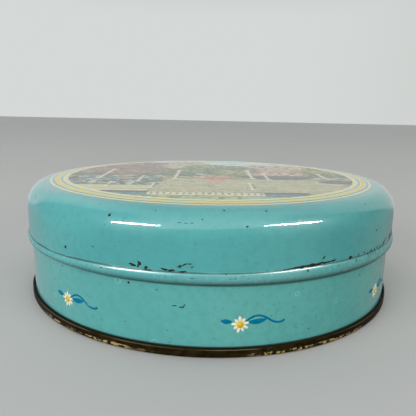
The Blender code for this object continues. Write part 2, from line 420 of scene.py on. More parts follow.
def rounded(line, radius, steps=5):
    """The line with each inner corner rounded off, keeping the radius within the runs beside it."""
    soft = [line[0]]
    for before, corner, after in zip(line, line[1:], line[2:]):
        into, out = direction(before, corner), direction(corner, after)
        turn = acos(max(-1, min(1, into[0] * out[0] + into[1] * out[1])))
        if turn < radians(3):
            soft.append(corner)
            continue
        room = 0.49 * min(dist(before, corner), dist(corner, after))
        reach = min(radius * tan(turn / 2), room)
        start = (corner[0] - into[0] * reach, corner[1] - into[1] * reach)
        end = (corner[0] + out[0] * reach, corner[1] + out[1] * reach)
        for index in range(steps + 1):
            t = index / steps
            near, mid, far = (1 - t) ** 2, 2 * t * (1 - t), t ** 2
            soft.append(tuple(near * s + mid * c + far * e for s, c, e in zip(start, corner, end)))
    return soft + [line[-1]]


def sheet_section(line, thickness=SHEET):
    """The closed outline of a sheet whose middle follows line: its left side, then its right side back."""
    left, right = [], []
    for index, (radius, height) in enumerate(line):
        here = (radius, height)
        one = direction(line[max(index - 1, 0)], here) or direction(here, line[index + 1])
        two = direction(here, line[min(index + 1, len(line) - 1)]) or one
        normal = (-(one[1] + two[1]), one[0] + two[0])
        length = hypot(*normal)
        normal = (normal[0] / length, normal[1] / length)
        mitre = thickness / 2 / max(0.6, normal[0] * -one[1] + normal[1] * one[0])
        left.append((radius and radius + mitre * normal[0], height + mitre * normal[1]))
        right.append((radius and radius - mitre * normal[0], height - mitre * normal[1]))
    return left + right[::-1]


def around(radius, turn, height, centre=(0, 0)):
    """The point at a radius and a turn about an upright axis, at a height."""
    return (centre[0] + radius * cos(turn), centre[1] + radius * sin(turn), height)


def turned(name, section, materials, facets=FACETS, shape=None, centre=(0, 0), slots=None):
    """A solid turned from a closed outline. shape moves its points, and slots gives each band's material."""
    body = bmesh.new()
    rise = body.verts.layers.float.new("rise")
    rings = []
    for radius, height in section:
        points = []
        for index in range(1 if radius == 0 else facets):
            point = around(radius, TAU * index / facets, height, centre)
            points.append(body.verts.new(shape(point) if shape else point))
            points[-1][rise] = height
        rings.append(points * facets if radius == 0 else points)
    skin(body, rings, slots)
    return finish_mesh(name, body, materials)


def skin(body, rings, slots=None):
    """Faces from each ring of points to the next, and from the last ring back to the first."""
    for band, (inner, outer) in enumerate(zip(rings, rings[1:] + rings[:1])):
        for index, corner in enumerate(inner):
            following = (index + 1) % len(inner)
            corners = list(dict.fromkeys([corner, inner[following], outer[following], outer[index]]))
            if len(corners) > 2:
                face = body.faces.new(corners)
                face.material_index = slots(band) if slots else 0


def pressed(name, line, materials, shape=None):
    """A turned sheet whose middle follows line: one material on its left side, and another on its right."""
    sides = len(line)
    return turned(name, sheet_section(line), materials, shape=shape, slots=lambda band: int(band >= sides))


def finish_mesh(name, body, materials, angle=40):
    """The object of a bmesh, faces outwards and smooth below that angle."""
    bmesh.ops.recalc_face_normals(body, faces=body.faces)
    mesh = bpy.data.meshes.new(name)
    body.to_mesh(mesh)
    body.free()
    mesh.shade_smooth()
    mesh.set_sharp_from_angle(angle=radians(angle))
    for each in materials:
        mesh.materials.append(each)
    return placed(name, mesh)


def placed(name, data):
    """A new object of this data, in the scene."""
    made = bpy.data.objects.new(name, data)
    bpy.context.scene.collection.objects.link(made)
    return made


def thicken(piece):
    """Gives a flat print, or a patch of lost paint, its thickness, inwards from its outside."""
    thick = piece.modifiers.new("thickness", "SOLIDIFY")
    thick.thickness = 2 * PRINT_LIFT
    thick.offset = -1
    return piece


def belongs(piece, body, slot, *nodes):
    """The piece rides on a body and stands for these CAD nodes; slot is not used."""
    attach(piece, body)
    if nodes:
        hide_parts(*nodes)
    return piece


# ---- lid

# Knocks: angle from the front, height, half-width, half-height and depth.
DENTS = (
    (-37, LID_TOP - 7.2 * MM, 15, 8.8 * MM, 1.35 * MM),
    (-57, LID_TOP - 5 * MM, 5, 5 * MM, 0.35 * MM),
    (50, LID_TOP - 6 * MM, 16, 8 * MM, 0.4 * MM),
)


def knocked(bearing, z):
    """How far the knocks push the sheet in, at an angle from the front and a height."""
    inward = 0
    for angle, height, half_width, half_height, depth in DENTS:
        away = ((bearing - angle) / half_width) ** 2 + ((z - height) / half_height) ** 2
        if away < 1:
            inward += depth * (1 - away) ** 2
    return inward


# The lid sits slightly crooked: its rise from left to right.
SKEW = 0.006
# The middle of its top is flat. Outside that, the sheet is faintly wavy: its waves' depth and closeness.
FLAT_RADIUS = 60 * MM
WAVE_DEPTH, WAVES = 0.07 * MM, 20
# The bead was rolled by hand: how far its crease drifts up or down, by the angle from the front.
DRIFT = (
    (-180, 0), (-110, -0.6 * MM), (-44, -0.9 * MM), (-16, 0), (6, 0), (24, 0.55 * MM),
    (60, 0.55 * MM), (110, 0), (180, 0),
)


def smooth(value, low, high):
    """0 at low and 1 at high, smoothly between."""
    t = min(1, max(0, (value - low) / (high - low)))
    return t * t * (3 - 2 * t)


def hand_worn(point):
    """A lid point moved by the dents, the faint waviness of old sheet, and its crooked seat."""
    x, y, z = point
    radius = hypot(x, y)
    if radius < FLAT_RADIUS:
        return (x, y, z + SKEW * x)
    bearing = degrees(atan2(x, -y))
    inward = WAVE_DEPTH * noise.noise(Vector((x * WAVES, y * WAVES, z * WAVES))) + knocked(bearing, z)
    pull = 1 - inward / radius
    share = smooth(z, LID_FOOT + 0.4 * MM, CREASE - 0.4 * MM) * smooth(-z, -CREASE - 7 * MM, -CREASE)
    return (x * pull, y * pull, z + SKEW * x + between(DRIFT, bearing) * share)


def lid_line():
    """The middle of the lid's sheet, from the centre of its top to the inside of its hem."""
    skirt = SKIRT_RADIUS - SHEET / 2
    top = LID_TOP - SHEET / 2
    shoulder = (skirt - 9.1 * MM, top - 11.4 * MM)
    bead_middle = CREASE - BEAD_HALF
    line = [(radius * MM, top) for radius in (0, 20, 45, 64, 73)]
    line += [(78 * MM, top - 0.1 * MM), (82 * MM, top - 0.35 * MM)]
    line += arc(shoulder, 9.1 * MM, 10.6 * MM, 88, 0, 22)
    line += [(skirt, CREASE + h * MM) for h in (7, 4, 2, 0.8, 0.25)]
    line += arc((skirt - 2.1 * MM, bead_middle), 3 * MM, 3 * MM, 43, 4, 9)
    line += arc((skirt + 0.05 * MM, bead_middle), 0.85 * MM, BEAD_HALF - SHEET / 2, 0, -90, 8)
    hem = skirt - 0.45 * MM
    line += [(hem, LID_FOOT + 0.5 * MM), (hem, CREASE - 0.9 * MM)]
    return line


def make_lid(paint, inside, inks, picture):
    """The lid's shell, its printed rings and picture, and its chips."""
    shell = pressed("lid_enamel", lid_line(), [paint, inside], hand_worn)
    belongs(shell, "lid", "lid_enamel", "lid_shell")
    for index, (colour, inner, outer) in enumerate(RINGS):
        band = print_band(inner, outer)
        ring = turned(f"lid_ring_{index + 1}", band, [inks[colour]], shape=on_lid, centre=PRINT_CENTRE)
        belongs(ring, "lid", "lid_enamel")
    belongs(make_picture(picture), "lid", "lid_enamel")
    belongs(make_chips("lid_chips", LID_CHIPS, lid_spot), "lid", "lid_enamel")


# The outside of the lid: its height at each radius of its top, and its radius at each height of its side.
OUTER_LINE = sheet_section(lid_line())[:len(lid_line())]
TOP_PROFILE = [(radius, height) for radius, height in OUTER_LINE if height > LID_TOP - 9 * MM]
SIDE_PROFILE = [
    (height, radius) for radius, height in OUTER_LINE[::-1]
    if radius > 80 * MM and height > LID_FOOT + BEAD_HALF
]


def on_lid(point):
    """A point given by its place in plan and its height off the lid's top, put there."""
    x, y, lift = point
    return hand_worn((x, y, between(TOP_PROFILE, hypot(x, y)) + lift))


def facing(turn, radius, height):
    """The point at a turn from the front in radians, a radius and a height."""
    return (radius * sin(turn), -radius * cos(turn), height)


def lid_spot(turn, height, lift):
    """The point at a turn from the front and a height on the lid's side, lifted off it."""
    return hand_worn(facing(turn, between(SIDE_PROFILE, height) + lift, height))


def wall_spot(turn, height, lift):
    """The point at a turn from the front and a height on the wall, lifted off it."""
    return facing(turn, WALL_RADIUS + lift, height)


def print_band(inner, outer):
    """The thin outline of a printed ring, flat: its heights are put on the lid's top later."""
    steps = 4
    radii = [inner + (outer - inner) * index / steps for index in range(steps + 1)]
    return [(radius, PRINT_LIFT) for radius in radii] + [(radius, -PRINT_LIFT) for radius in radii[::-1]]


# ---- chips

# Lost paint: the angle from the front, height, length and breadth in millimetres, and lean in degrees.
LID_CHIPS = (
    (-36.4, 36.5, 1.5, 1.1, 0), (-23.3, 51.4, 1.3, 1.2, 0), (-21, 50, 0.5, 0.4, 0),
    (-19.6, 50.2, 0.5, 0.5, 0), (-16.8, 34.5, 3, 0.8, -14), (-15.2, 35.3, 1.5, 1.6, 40),
    (-15.5, 34.2, 1.9, 0.7, 60), (-13.6, 34, 1.5, 1.1, 50), (-13.1, 33.2, 2.6, 0.6, 4),
    (-9.5, 33.9, 2.8, 0.8, -8), (-8, 33.7, 3, 0.9, 6), (-5.6, 33.4, 3.2, 0.65, 4), (-6.2, 35.3, 2, 0.95, 20),
    (-5.2, 36, 2.3, 0.65, 28), (-4.1, 36.4, 1.9, 0.5, 0), (-3.5, 35.3, 1.2, 0.6, 30),
    (-6.6, 50.8, 1.5, 0.22, 2), (-5.2, 50.7, 1.8, 0.2, -2), (-3.8, 50.8, 1.2, 0.24, 4),
    (-1.6, 52, 0.9, 0.3, 10), (8, 49.8, 0.9, 0.7, 20), (3.2, 54.6, 0.8, 0.4, 10), (13, 54.3, 0.9, 0.4, -10),
    (-12.5, 54, 0.5, 0.4, 0), (17.4, 33.3, 5.4, 0.4, 2), (19.8, 33.5, 6.4, 0.8, 2), (21.6, 33.6, 6, 1.1, 3),
    (23.4, 33.6, 6.4, 1.2, 2), (25.4, 33.7, 6, 1, 3), (27.4, 33.8, 5.4, 0.8, 3), (29.6, 34, 3, 0.8, 4),
    (26.7, 36.1, 1.8, 0.9, 40), (35.4, 33.7, 2.3, 1.25, 12), (37.2, 32.3, 1.4, 0.4, 78),
    (42.4, 32.4, 1.6, 0.28, 78), (43.5, 32.2, 1.5, 0.26, 82), (44.8, 32.5, 1.5, 0.28, 76),
    (46.2, 32.3, 1.2, 0.24, 80), (48.6, 32.6, 1.5, 0.3, 74), (38.6, 33.8, 1.4, 0.6, 60),
    (41, 33.9, 1.1, 0.9, 0), (42.6, 33.2, 1.5, 0.5, 50), (44.4, 33.9, 1.5, 0.8, 30),
    (46.2, 33.5, 1.7, 0.8, 60), (47.9, 34.1, 2, 0.7, 30), (49.8, 33.9, 1.6, 0.7, 70),
    (53, 34.6, 4.2, 1.2, 30), (55.4, 35.3, 1.3, 0.7, 40), (58.5, 35.8, 1.8, 0.6, 50),
    (46.5, 42.3, 1.2, 0.7, 20), (44, 53.2, 0.8, 0.4, 10), (59.5, 34.6, 4.6, 1.5, 10),
    (63, 35.1, 5.4, 1.9, 12), (67, 35.3, 5, 1.7, 4), (71, 35.6, 3.2, 1.4, 0), (-46, 33.9, 0.7, 0.5, 0),
    (-57.5, 51.5, 1.2, 0.4, -40), (-55.8, 50.6, 0.9, 0.3, -30), (-47, 40.8, 0.5, 0.4, 0),
    (-24.6, 31.9, 1, 0.5, 10), (-22.8, 31.8, 0.6, 0.4, 0), (19.3, 30.2, 0.9, 0.5, 20),
    (2, 31.2, 1.4, 0.2, 0), (-3.5, 31.4, 1.8, 0.18, 0), (6.5, 31, 1.2, 0.18, 0), (11.5, 31.3, 0.8, 0.2, 0),
    (31, 31.9, 0.7, 0.3, 0), (-10.5, 31.2, 1, 0.22, 0), (-9.2, 31.4, 0.8, 0.2, 5),
    (-7.4, 31.2, 1.2, 0.2, -4), (-5.6, 31.1, 0.9, 0.22, 0), (-1.5, 31.1, 0.9, 0.2, 0),
    (4.6, 31.3, 1.6, 0.3, 0), (5.6, 31.5, 0.8, 0.3, 20), (8.5, 31.2, 0.9, 0.2, 0), (-70, 40, 1.2, 0.9, 0),
    (84, 37, 1.3, 0.9, 20), (112, 34.6, 5, 0.7, 0), (118, 34.4, 3, 0.5, 5), (151, 46, 1, 0.9, 0),
    (-104, 34.8, 4, 0.6, 4), (-139, 35.2, 2.2, 1, 30), (-162, 50, 1.2, 0.8, 0),
)
WALL_CHIPS = (
    (-7.4, 19.6, 2.6, 0.4, -2), (-6, 19.2, 2, 0.55, -8), (-5.3, 19.8, 1.8, 0.5, 55),
    (-39.5, 26.4, 0.7, 0.5, 0), (-18.3, 26.6, 1.1, 0.7, -50), (41.5, 24.6, 0.9, 0.5, 10),
    (58, 23.8, 0.9, 0.5, 0), (24.5, 8, 0.7, 0.5, 0), (-9, 9.5, 0.5, 0.4, 0), (1.5, 7.4, 0.5, 0.3, 0),
    (33, 11.5, 0.5, 0.4, 0), (14.5, 15.6, 0.4, 0.3, 0), (-26, 9, 0.5, 0.4, 0), (96, 17, 1.4, 0.9, 20),
    (-121, 9, 1.1, 0.7, 0), (163, 21, 1.6, 0.6, 35),
)


def make_chips(name, chips, spot):
    """Patches of lost paint: thin ragged blobs that follow the sheet."""
    body = bmesh.new()
    corners = 22
    for number, (bearing, height, length, breadth, lean) in enumerate(chips):
        tip = radians(lean)
        rim, inner = [], []
        for corner in range(corners):
            turn = TAU * corner / corners
            ragged = 0.9 + 0.5 * noise.noise(Vector(around(1.6, turn, 3.7 * number)))
            ragged += 0.35 * noise.noise(Vector(around(4, turn, 5.3 * number)))
            along = 0.5 * length * ragged * cos(turn)
            across = 0.5 * breadth * ragged * sin(turn)
            right = along * cos(tip) - across * sin(tip)
            up = along * sin(tip) + across * cos(tip)
            for ring, share in ((rim, 1), (inner, 0.5)):
                aside = radians(bearing) + share * right * MM / BEAD_RADIUS
                ring.append(body.verts.new(spot(aside, (height + share * up) * MM, PRINT_LIFT)))
        for quad in zip(rim, rim[1:] + rim[:1], inner[1:] + inner[:1], inner):
            body.faces.new(quad)
        body.faces.new(inner)
    return thicken(finish_mesh(name, body, [rust()]))


# ---- picture

def lattice(i, j, seed):
    """A repeatable random number from 0 to 1 for each whole-number place."""
    mixed = (i * 374761393 + j * 668265263 + seed * 144269504) & 0xFFFFFFFF
    mixed = ((mixed ^ (mixed >> 13)) * 1274126177) & 0xFFFFFFFF
    return ((mixed ^ (mixed >> 16)) & 0xFFFF) / 65535


def dapple(x, y, size, seed):
    """Smooth random patches from 0 to 1, about size across."""
    u, v = x / size, y / size
    i, j = np.floor(u).astype(np.int64), np.floor(v).astype(np.int64)
    s, t = u - i, v - j
    s, t = s * s * (3 - 2 * s), t * t * (3 - 2 * t)
    low = lattice(i, j, seed) * (1 - s) + lattice(i + 1, j, seed) * s
    high = lattice(i, j + 1, seed) * (1 - s) + lattice(i + 1, j + 1, seed) * s
    return low * (1 - t) + high * t


def ease(value, low, high):
    """0 at low and 1 at high, smoothly between."""
    t = np.clip((value - low) / (high - low), 0, 1)
    return t * t * (3 - 2 * t)


class Canvas:
    """Points of the picture in millimetres from its centre, and their colours, painted in layers."""

    def __init__(self, x, y):
        self.x, self.y = x, y
        self.colour = np.zeros((len(x), 3))

    def wash(self, mask, colour, strength=1):
        share = np.clip(mask * strength, 0, 1)[:, None]
        self.colour = self.colour * (1 - share) + np.array(colour) / 255 * share

    def dapple(self, size, seed):
        return dapple(self.x, self.y, size, seed)

    def foliage(self, cx, cy, width, height, colours, seed):
        """A leafy mass with a ragged outline: shaded below, lit above, dabbed with its other colours."""
        u, v = (self.x - cx) / width, (self.y - cy) / height
        coarse, fine = self.dapple(5, seed) - 0.5, self.dapple(1.8, seed + 1) - 0.5
        edge = np.hypot(u, v) + 0.35 * coarse + 0.105 * fine
        mask = ease(-edge, -1.03, -0.93)
        self.wash(mask, colours[0])
        for index, colour in enumerate(colours[1:]):
            dabs = self.dapple(2.6 - 0.5 * index, seed + 7 * index + 3)
            self.wash(mask * ease(dabs + 0.22 * v, 0.5 + 0.06 * index, 0.64 + 0.06 * index), colour, 0.85)

    def dots(self, mask, colour, size, share, seed):
        """Scattered dabs of one colour over a mask."""
        self.wash(mask * ease(self.dapple(size, seed), 1 - share, 1.08 - share), colour)

    def slab(self, left, right, low, high, lean=0, soft=0.5):
        """A mask for an upright-sided patch whose sides lean by lean per unit of height."""
        x = self.x - lean * (self.y - low)
        inside = np.minimum(np.minimum(x - left, right - x), np.minimum(self.y - low, high - self.y))
        return ease(inside, -soft, soft)

    def pillar(self, x, low, high, width):
        """A cream pillar with a shaded side and a wider cap and foot."""
        self.wash(self.slab(x - width / 2, x + width / 2, low, high), (226, 219, 192))
        self.wash(self.slab(x + width / 6, x + width / 2 + 0.5, low, high), (120, 122, 124), 0.75)
        for foot in (low, high):
            block = self.slab(x - width * 0.8, x + width * 0.8, foot - 0.9, foot + 0.9, 0, 0.4)
            self.wash(block, (228, 220, 192))


def paint_garden(x, y):
    """A made-up formal garden: sky, trees, hedges, flower beds, a paved court, a balustrade and two pools."""
    c = Canvas(x, y)
    c.wash(np.ones_like(x), (176, 205, 205))
    c.wash(ease(-y, -70, -28), (206, 210, 192))
    c.wash(ease(dapple(x, 2.2 * y, 17, 5), 0.45, 0.8) * ease(y, 25, 45), (226, 228, 216), 0.8)
    plum = ((142, 124, 118), (160, 142, 134), (120, 106, 104), (176, 158, 148))
    blossom = ((176, 152, 140), (204, 184, 164), (146, 120, 118), (216, 200, 180))
    leaf = ((92, 128, 112), (130, 152, 110), (66, 102, 104), (170, 176, 128))
    olive = ((132, 138, 100), (166, 164, 112), (98, 110, 90), (190, 184, 132))
    stone = ((190, 178, 150), (208, 196, 166), (164, 150, 130))
    for trees in (
        (-66, 22, 30, 22, plum, 11), (-42, 34, 20, 30, plum, 17), (-24, 22, 13, 14, plum, 19),
        (-14, 44, 17, 22, stone, 23), (46, 26, 40, 25, blossom, 31), (72, 18, 20, 24, olive, 37),
        (4, 24, 24, 25, leaf, 41), (-20, 6, 16, 14, leaf, 43), (14, 4, 14, 16, olive, 47),
        (-56, 0, 28, 18, plum, 53), (40, 2, 20, 13, blossom, 59), (66, 0, 14, 12, leaf, 61),
    ):
        c.foliage(*trees)
    ground = ease(-y, 7, 15)
    c.wash(ground, (150, 158, 132))
    hedge = ease(-np.abs(y + 7 + 1.2 * np.sin(x / 9)), -4.2, -3)
    c.wash(hedge, (70, 92, 98))
    c.dots(hedge, (112, 136, 118), 2.2, 0.45, 71)
    beds = c.slab(-74, -24, -42, -11, 0.1, 2)
    c.wash(beds, (112, 140, 132))
    c.dots(beds, (72, 100, 108), 3, 0.42, 73)
    c.dots(beds, (206, 208, 190), 2.2, 0.3, 79)
    c.dots(beds, (150, 178, 190), 1.8, 0.26, 83)
    c.dots(beds * ease(y, -34, -20), (186, 108, 104), 2, 0.22, 89)
    court = c.slab(-27, 62, -60, -19, 0.12, 0.8)
    c.wash(court, (188, 184, 156))
    c.wash(court * ease(dapple(x, 3 * y, 9, 91), 0.4, 0.8), (172, 172, 150), 0.7)
    for row in range(6):
        joint = -22.5 - 6.2 * row - 0.35 * row * row
        c.wash(court * ease(-np.abs(y - joint), -0.55, -0.2), (158, 156, 138), 0.5)
    walk = c.slab(-64, -27, -59, -43, 0, 0.8)
    c.wash(walk, (206, 202, 168))
    c.wash(walk * ease(-np.abs(y + 51 - 0.04 * x), -0.9, -0.3), (150, 150, 130), 0.7)
    for shrub in (
        (2, -12, 12, 8, ((178, 142, 128), (206, 158, 138), (150, 128, 122), (204, 184, 158)), 97),
        (2, -28, 4.5, 8, ((196, 172, 150), (206, 160, 138)), 101),
        (-24, -9, 7, 4.5, ((202, 160, 112), (216, 190, 150), (120, 130, 110)), 103),
        (-46, -10, 6, 4, ((204, 158, 108), (214, 190, 150), (120, 130, 110)), 107),
        (36, -11, 17, 7, ((74, 98, 110), (110, 136, 132), (60, 78, 96)), 109),
        (66, -11, 13, 6, ((196, 188, 166), (128, 108, 124), (150, 160, 156)), 113),
        (66, -24, 12, 7.5, ((88, 108, 118), (120, 136, 134), (66, 84, 98)), 127),
    ):
        c.foliage(*shrub)
    for pillar in (
        (-57, -20, 18, 2.2), (-18, -19, 16, 2.2), (22.5, -15, 22, 2.2), (62, -10, 8, 2.2),
        (-35.5, -30, -10, 1.7), (-26.5, -50, -34, 1.7), (-47.5, -46, -34, 1.7), (19.5, -51, -31, 1.7),
        (30.5, -18, 2, 1.7),
    ):
        c.pillar(*pillar)
    for left, right in ((-50, -24), (17, 42)):
        pool = c.slab(left, right, -69, -58.5, 0, 0.5)
        c.wash(pool, (118, 146, 148))
        c.wash(pool * ease(y, -63, -60.5), (84, 98, 120))
    c.wash(ease(-y, 68, 70), (172, 184, 152))
    c.dots(ease(-y, 68, 70), (140, 158, 132), 2.4, 0.45, 131)
    rail = c.slab(-26, 23, -67.5, -59, 0, 0.4)
    c.wash(rail, (216, 210, 180))
    balusters = rail * ease(-np.abs(y + 63.2), -2.4, -1.8) * ease(np.cos(x * TAU / 2.7), 0.1, 0.6)
    c.wash(balusters, (134, 138, 128), 0.85)
    c.wash(rail * ease(-np.abs(y + 59.5), -0.7, -0.3), (112, 118, 116), 0.8)
    misty = c.dapple(1.5, 137) + dapple(x, 0.6 * y, 0.8, 139) - 1
    return np.clip(c.colour + 0.09 * misty[:, None], 0, 1)


def make_picture(picture):
    """The printed disc: a square grid pressed into a circle, so that its edge is round and its cells even."""
    cells = 250
    steps = np.linspace(-1, 1, cells + 1)
    u, v = np.meshgrid(steps, steps)
    wide = np.abs(u) > np.abs(v)
    reach = np.where(wide, u, v)
    with np.errstate(divide="ignore", invalid="ignore"):
        turn = np.where(wide, pi / 4 * v / u, pi / 2 - pi / 4 * u / v)
    turn = np.nan_to_num(turn)
    x = (reach * np.cos(turn)).ravel() * PICTURE_RADIUS
    y = (reach * np.sin(turn)).ravel() * PICTURE_RADIUS
    mid_x, mid_y = PRINT_CENTRE
    points = [on_lid((px + mid_x, py + mid_y, PRINT_LIFT)) for px, py in zip(x.tolist(), y.tolist())]
    corner = np.arange(cells * (cells + 1)).reshape(cells, cells + 1)[:, :-1].ravel()
    faces = np.column_stack([corner, corner + 1, corner + cells + 2, corner + cells + 1])
    mesh = bpy.data.meshes.new("lid_picture")
    mesh.from_pydata(points, [], faces.tolist())
    painted = paint_garden(x / MM, y / MM)
    linear = np.where(painted <= 0.04045, painted / 12.92, ((painted + 0.055) / 1.055) ** 2.4)
    linear = np.clip((linear - SHEEN) / (1 - SHEEN), 0.012, 1)
    colours = mesh.attributes.new("paint", "FLOAT_COLOR", "POINT")
    colours.data.foreach_set("color", np.column_stack([linear, np.ones(len(x))]).astype(np.float32).ravel())
    mesh.shade_smooth()
    mesh.materials.append(picture)
    return thicken(placed("lid_picture", mesh))


# ---- tin

# The height where the wall's neck begins, the share of the lid's knocks that the wall took, and the lock
# seam up its back: half its width, in degrees, and how far it stands out.
NECK_FOOT = RIM_TOP - 4.5 * MM
KNOCK_SHARE = 0.92
LOCK_HALF, LOCK_RISE = 1.8, 0.2 * MM


def make_wall(paint, inside):
    """The rolled wall: its rim curled out, necked below that, and hooked into the base seam."""
    wall = WALL_RADIUS - SHEET / 2
    neck = wall - 0.6 * MM
    curl = 0.5 * MM
    rim = (neck + curl, RIM_TOP - curl - SHEET / 2)
    line = [(neck + 2 * curl, rim[1] - 2 * curl)] + arc(rim, curl, curl, 0, 180, 12)
    line += [(neck, RIM_TOP - 3 * MM), (wall, NECK_FOOT), (wall, RIM_TOP * 0.5), (wall, LAYER * 3)]
    hook = wall + 2 * LAYER
    line += [(wall, LAYER + SHEET / 2), (hook, LAYER + SHEET / 2), (hook, SEAM_TOP - 2 * LAYER)]
    piece = pressed("wall_enamel", rounded(line, 0.6 * MM, 4), [paint, inside], lock_seam)
    belongs(make_chips("wall_chips", WALL_CHIPS, wall_spot), "tin", "body_enamel")
    return belongs(piece, "tin", "body_enamel", "body_wall")


def lock_seam(point):
    """A wall point moved: raised at the back, where the wall's edges are folded, and pushed in by a knock."""
    x, y, z = point
    radius = hypot(x, y)
    lift = -KNOCK_SHARE * knocked(degrees(atan2(x, -y)), z)
    if abs(degrees(atan2(x, y))) <= LOCK_HALF and SEAM_TOP <= z <= NECK_FOOT:
        lift += LOCK_RISE
    scale = 1 + lift / radius
    return (x * scale, y * scale, z)


def make_base(inside, metal):
    """The stamped base: ring groove, countersink, and its edge folded round the wall's hook."""
    wall = WALL_RADIUS - SHEET / 2
    chuck, outer, tuck = wall - LAYER, wall + 3 * LAYER, wall + LAYER
    floor = BOARD_LOW - 0.3 * MM - SHEET / 2
    foot, top = SHEET / 2, SEAM_TOP - SHEET / 2
    line = [(0, floor), (40 * MM, floor), (77.5 * MM, floor), (80 * MM, floor - 1 * MM)]
    line += [(82.5 * MM, floor), (chuck - 0.6 * MM, floor), (chuck, floor - 0.8 * MM), (chuck, foot)]
    line += [(outer, foot), (outer, top), (tuck, top), (tuck, foot + 2 * LAYER + SHEET)]
    piece = pressed("base_metal", rounded(line, 0.7 * MM, 6), [inside, metal])
    return belongs(piece, "tin", "base_lacquer", "base_plate")


# ---- daisies

def wrapped(across, height, bearing, lift):
    """A point of the wall print: across and height from its daisy's centre, lifted off the wall."""
    return wall_spot(radians(bearing) + across / WALL_RADIUS, DAISY_HEIGHT + height, lift)


def ribbon(body, spine, widths, bearing, slot, lift, cross=2):
    """A flat print along a spine of (across, height) points in millimetres, with a width at each."""
    rows = []
    for index, (point, width) in enumerate(zip(spine, widths)):
        ahead = spine[min(index + 1, len(spine) - 1)]
        behind = spine[max(index - 1, 0)]
        along = direction(behind, ahead)
        row = []
        for step_across in range(-cross, cross + 1):
            share = step_across / cross * width / 2
            across, height = point[0] - along[1] * share, point[1] + along[0] * share
            row.append(body.verts.new(wrapped(across * MM, height * MM, bearing, lift)))
        rows.append(row)
    for row, following in zip(rows, rows[1:]):
        for quad in zip(row, row[1:], following[1:], following):
            body.faces.new(quad).material_index = slot


def leaf_spine(start, end, bulge, width, steps=10):
    """A leaf or petal: its spine from start to end, bowed sideways by bulge, and its widths."""
    spine, widths = [], []
    along = direction(start, end)
    for index in range(steps + 1):
        t = index / steps
        bow = bulge * sin(pi * t)
        middle = [a + (b - a) * t for a, b in zip(start, end)]
        spine.append((middle[0] - along[1] * bow, middle[1] + along[0] * bow))
        widths.append(max(0.04, width * sin(pi * min(1, t * 0.96 + 0.03)) ** 0.8))
    return spine, widths


def stem_spine():
    """The stem: it leaves the daisy, arches over the right leaf, dips and curls up at its tip."""
    path = [(2, 1.1), (3.4, 2.3), (5.2, 3.2), (7.1, 3.4), (9, 2.8), (10.7, 1.8), (12.6, 0.5)]
    path += [(14.6, -0.1), (16.3, 0.1), (17.3, 0.8)]
    for _ in range(2):
        smoother = [path[0]]
        for one, two in zip(path, path[1:]):
            for share in (0.25, 0.75):
                smoother.append(tuple((1 - share) * a + share * b for a, b in zip(one, two)))
        path = smoother + [path[-1]]
    return path, [0.76 + 0.16 * index / len(path) for index in range(len(path))]


def make_daisy(index, inks):
    """One printed daisy: cream petals round a gold eye, a blue leaf each side, and a blue stem."""
    bearing = FIRST_DAISY + 360 * index / DAISIES
    body = bmesh.new()
    ribbon(body, *leaf_spine((-3, 1.2), (-7.3, 1.6), 0.1, 1.9), bearing, 2, PRINT_LIFT)
    ribbon(body, *leaf_spine((2.8, 0.9), (10.2, 1.8), -0.35, 2.1, 14), bearing, 2, PRINT_LIFT)
    ribbon(body, *stem_spine(), bearing, 2, PRINT_LIFT, 1)
    for petal in range(PETALS):
        turn = TAU * (petal + 0.35) / PETALS
        reach = 3.2 + 0.22 * cos(3.1 * petal + index)
        start = (0.75 * cos(turn), 0.75 * sin(turn))
        end = (reach * cos(turn), reach * sin(turn))
        spine, widths = leaf_spine(start, end, 0, 1.12, 7)
        widths = [width * (0.75 + 0.5 * number / 7) for number, width in enumerate(widths)]
        ribbon(body, spine, widths, bearing, 0, 1.5 * PRINT_LIFT)
    top = 2 * PRINT_LIFT
    eye = body.verts.new(wrapped(0, 0, bearing, top))
    rim = []
    for corner in range(20):
        turn = TAU * corner / 20
        place = wrapped(1.22 * MM * cos(turn), 1.28 * MM * sin(turn), bearing, top)
        rim.append(body.verts.new(place))
    for a, b in zip(rim, rim[1:] + rim[:1]):
        body.faces.new((eye, a, b)).material_index = 1
    piece = finish_mesh(f"daisy_{index + 1}", body, [inks["petal"], inks["eye"], inks["blue"]])
    belongs(thicken(piece), "tin", "body_enamel")


# ---- rack and bobbins

def make_board(plywood):
    """The rack's disc, with its edges eased."""
    section = [(0, BOARD_HIGH), (BOARD_RADIUS, BOARD_HIGH), (BOARD_RADIUS, BOARD_LOW), (0, BOARD_LOW)]
    piece = turned("rack_disc", rounded(section, 0.5 * MM, 5), [plywood], 160)
    return belongs(piece, "rack", "plywood", "rack_board")


def make_knob(beech):
    """Turned knob: foot ring, cove, neck and a ball."""
    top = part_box("lift_knob")[1][2]
    ball = outer_radius("lift_knob")
    base = BOARD_HIGH + 0.05 * MM
    tenon = BOARD_LOW + 0.3 * MM
    section = [(0, tenon), (2.5 * MM, tenon), (2.5 * MM, base), (7.5 * MM, base)]
    section += arc((6.9 * MM, base + 1 * MM), 0.7 * MM, 0.9 * MM, -60, 80, 8)
    section += arc((6.6 * MM, base + 5 * MM), 3.2 * MM, 3.1 * MM, 265, 165, 10)
    section += arc((0, top - ball), ball, ball, -62, 88, 26) + [(0, top)]
    piece = turned("knob", section, [beech], 64)
    return belongs(piece, "rack", "dowel", "lift_knob")


